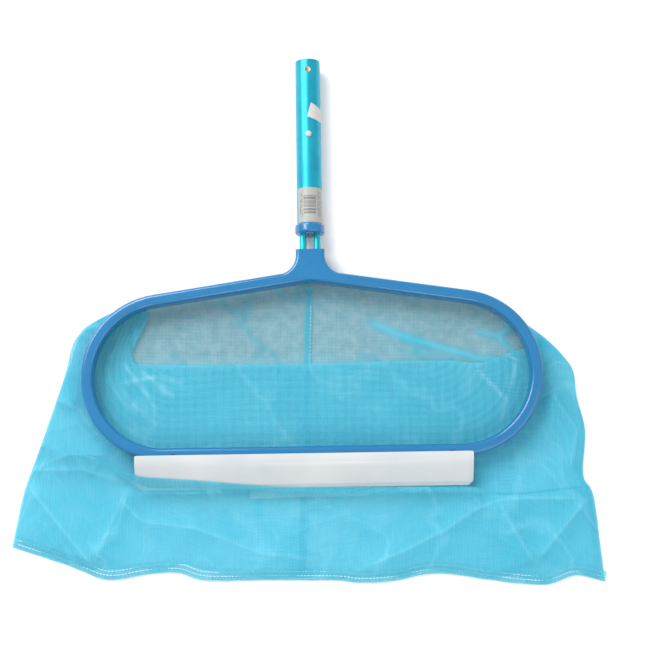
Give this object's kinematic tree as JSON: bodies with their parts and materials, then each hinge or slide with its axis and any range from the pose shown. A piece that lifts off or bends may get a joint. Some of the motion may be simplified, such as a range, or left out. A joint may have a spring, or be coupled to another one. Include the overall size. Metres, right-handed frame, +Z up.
{
  "type": "leaf skimmer net",
  "caption": "Flat pool leaf skimmer: gabled oval plastic frame with a scoop lip, a fine mesh bag, and a sprung-button tube handle that plugs into a pole.",
  "frame": {"origin": "middle of the outline on the surface that the net lies on, with X = 0 on the plane of symmetry of the frame and handle", "axes": "+X across the frame, +Y along the handle away from the net, +Z up out of the mouth's front"},
  "size_m": [0.656, 0.599, 0.0358],
  "materials": {
    "anodised_tube": "satin aqua anodised",
    "anodised_rod": "satin aqua anodised",
    "spring_steel": "bright spring steel",
    "screw_steel": "zinc plated",
    "button_plastic": "polished",
    "blue_plastic": "gloss moulded",
    "dark_plastic": "moulded",
    "dark_vinyl": "soft vinyl",
    "white_plastic": "slightly see-through, semi-gloss",
    "aqua_mesh": "fine woven mesh",
    "mesh_hem": "doubled woven mesh",
    "white_thread": "sewing thread",
    "pale_tape": "plain woven tape",
    "paper": "torn paper",
    "label_paper": "printed film"
  },
  "bodies": {
    "skimmer": {"handle_tube": "anodised_tube", "clip_spring": "spring_steel", "handle_plug": "blue_plastic", "plug_screw": "screw_steel", "plug_pin": "screw_steel", "support_rod": "anodised_rod", "frame_front": "blue_plastic", "frame_back": "blue_plastic", "neck_screw": "screw_steel", "retaining_spline": "dark_vinyl", "mouth_hem": "mesh_hem", "scoop_lip": "white_plastic", "lip_clips": "dark_plastic", "bag_back": "aqua_mesh", "bag_front": "aqua_mesh", "centre_seam": "mesh_hem", "bottom_hem": "mesh_hem", "hem_stitching": "white_thread", "sewn_tab": "pale_tape", "price_sticker": "paper", "product_label": "label_paper"},
    "button_front": {"snap_button_front": "button_plastic"},
    "button_back": {"snap_button_back": "button_plastic"}
  },
  "joints": [
    {"name": "front_button_press", "type": "slide", "parent": "skimmer", "child": "button_front", "axis": [0, 0, -1], "range_m": [0, 0.0038], "stiffness_N_per_m": 800, "springref_m": -0.002, "deforming": ["clip_spring"]},
    {"name": "back_button_press", "type": "slide", "parent": "skimmer", "child": "button_back", "axis": [0, 0, 1], "range_m": [0, 0.0038], "stiffness_N_per_m": 800, "springref_m": -0.002, "deforming": ["clip_spring"]}
  ]
}
